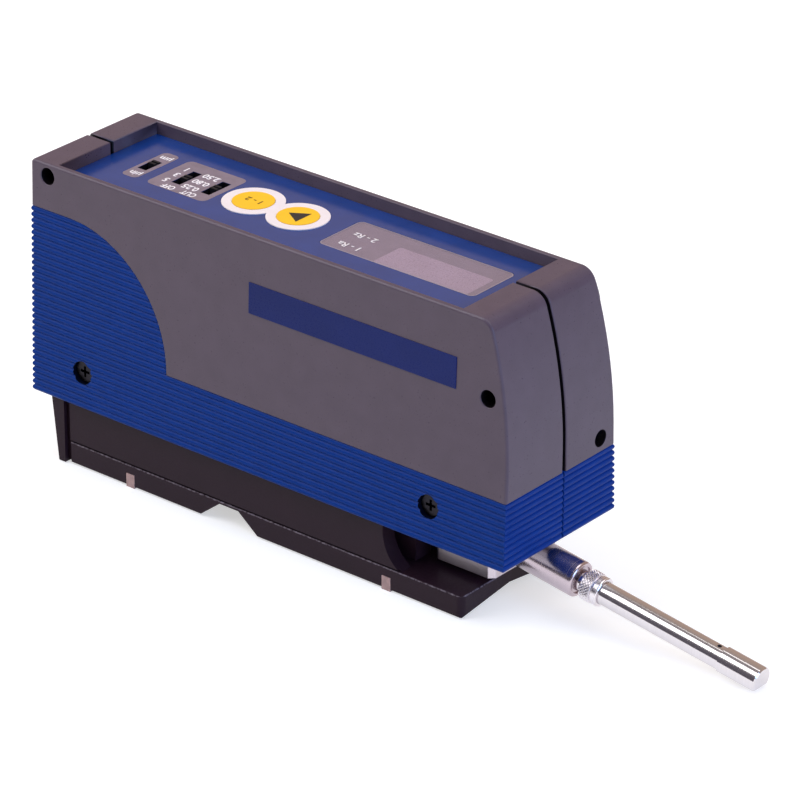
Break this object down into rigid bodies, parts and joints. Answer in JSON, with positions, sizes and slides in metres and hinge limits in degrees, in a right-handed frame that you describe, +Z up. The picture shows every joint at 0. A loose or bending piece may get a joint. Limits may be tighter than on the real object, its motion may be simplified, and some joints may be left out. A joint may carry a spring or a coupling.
{
  "type": "surface roughness tester",
  "caption": "Pocket surface roughness tester: grey and ribbed blue housing on a black guard base, yellow keys, display window and a swivelling metal probe at the front",
  "frame": {"origin": "middle of the overall length and width, on the surface the foot pads stand on", "axes": "+X along the length towards the probe tip, +Y across the thickness away from the label side, +Z up"},
  "size_m": [0.1954, 0.0396, 0.0755],
  "materials": {
    "housing_grey": "fine-textured moulded warm dark grey plastic, semi-matt",
    "grip_blue": "moulded deep blue plastic, satin, ribbed",
    "panel_blue": "blue printed panel, satin",
    "base_black": "moulded near-black plastic, semi-matt",
    "screw_black": "blackened steel screws",
    "screw_steel": "zinc plated steel",
    "chassis_alloy": "milled aluminium sheet",
    "key_yellow": "moulded yellow plastic, satin",
    "surround_white": "moulded white plastic, satin",
    "window_clear": "clear acrylic display window",
    "lcd_grey": "grey liquid-crystal display",
    "board_green": "circuit board, green solder resist",
    "switch_grey": "moulded grey switch body",
    "part_black": "moulded black plastic",
    "battery_wrap": "plain dark battery wrap",
    "trimmer_blue": "moulded blue adjuster body",
    "bush_bronze": "sintered bronze bush",
    "head_nickel": "satin nickel plated steel",
    "probe_chrome": "polished steel",
    "pad_pale": "pale hard-wearing plastic pad",
    "coil_copper": "wound copper wire",
    "skid_ruby": "polished ruby skid",
    "stylus_diamond": "ground diamond stylus"
  },
  "bodies": {
    "frame": {"left_cover": "housing_grey", "right_cover": "housing_grey", "left_grip": "grip_blue", "right_grip": "grip_blue", "cover_screws": "screw_black", "housing_screws": "screw_black", "chassis_plate": "chassis_alloy", "chassis_screws": "screw_steel", "base_frame": "base_black", "foot_plate": "base_black", "foot_screws": "screw_black", "rear_plate": "base_black", "end_screws": "screw_black", "foot_pads": "pad_pale", "lead_cover": "base_black", "top_panel": "panel_blue", "key_surround": "surround_white", "display_window": "window_clear", "lcd_module": "lcd_grey", "main_board": "board_green", "processor_chip": "part_black", "board_screws": "screw_steel", "select_switch": "part_black", "start_switch": "part_black", "unit_switch": "switch_grey", "range_switch": "switch_grey", "cutoff_switch": "switch_grey", "battery_tray": "chassis_alloy", "battery": "battery_wrap", "battery_snap": "part_black", "trimmer_body": "trimmer_blue", "swivel_bush": "bush_bronze"},
    "select_button": {"select_key": "key_yellow"},
    "start_button": {"start_key": "key_yellow"},
    "unit_slider": {"unit_knob": "part_black"},
    "range_slider": {"range_knob": "part_black"},
    "cutoff_slider": {"cutoff_knob": "part_black"},
    "trimmer": {"trimmer_screw": "bush_bronze"},
    "swivel": {"swivel_head": "head_nickel", "spindle_clip": "screw_black", "tilt_pin": "screw_steel"},
    "rod": {"drive_rod": "probe_chrome", "linear_drive": "screw_steel", "rod_bush": "bush_bronze"},
    "probe": {"plunger": "probe_chrome", "probe_tube": "probe_chrome", "probe_tip": "probe_chrome", "skid": "skid_ruby", "tip_screw": "screw_black", "pickup_coil": "coil_copper", "hinge_block": "screw_steel", "stylus_pin": "screw_steel"},
    "coupling": {"coupling_nut": "probe_chrome"},
    "stylus": {"stylus_beam": "screw_steel", "stylus_tip": "stylus_diamond"}
  },
  "joints": [
    {"name": "select_press", "type": "slide", "parent": "frame", "child": "select_button", "axis": [0, 0, -1], "range_m": [0, 0.0004], "stiffness_N_per_m": 1500},
    {"name": "start_press", "type": "slide", "parent": "frame", "child": "start_button", "axis": [0, 0, -1], "range_m": [0, 0.0004], "stiffness_N_per_m": 1500},
    {"name": "unit_slide", "type": "slide", "parent": "frame", "child": "unit_slider", "axis": [0, 1, 0], "range_m": [-0.003, 0]},
    {"name": "range_slide", "type": "slide", "parent": "frame", "child": "range_slider", "axis": [0, 1, 0], "range_m": [-0.00255, 0.00255]},
    {"name": "cutoff_slide", "type": "slide", "parent": "frame", "child": "cutoff_slider", "axis": [0, 1, 0], "range_m": [-0.00255, 0.00255]},
    {"name": "trimmer_turn", "type": "hinge", "parent": "frame", "child": "trimmer", "pos_m": [0.03869, 0.014, 0.0373], "axis": [1, 0, 0], "continuous": true},
    {"name": "swivel_turn", "type": "hinge", "parent": "frame", "child": "swivel", "pos_m": [0.01949, 0, 0.0175], "axis": [0, 0, 1], "range_deg": [-90, 90]},
    {"name": "tilt", "type": "hinge", "parent": "swivel", "child": "rod", "pos_m": [0.02689, 0, 0.0132], "axis": [0, -1, 0], "range_deg": [0, 4]},
    {"name": "traverse", "type": "slide", "parent": "rod", "child": "probe", "axis": [0.989, 0, -0.1482], "range_m": [0, 0.005]},
    {"name": "coupling_spin", "type": "hinge", "parent": "probe", "child": "coupling", "pos_m": [0.0524, 0, 0.00938], "axis": [0.989, 0, -0.1482], "continuous": true},
    {"name": "stylus_rock", "type": "hinge", "parent": "probe", "child": "stylus", "pos_m": [0.07534, 0, 0.00594], "axis": [0, 1, 0], "range_deg": [-0.7, 0.7], "stiffness_Nm_per_rad": 0.01}
  ]
}
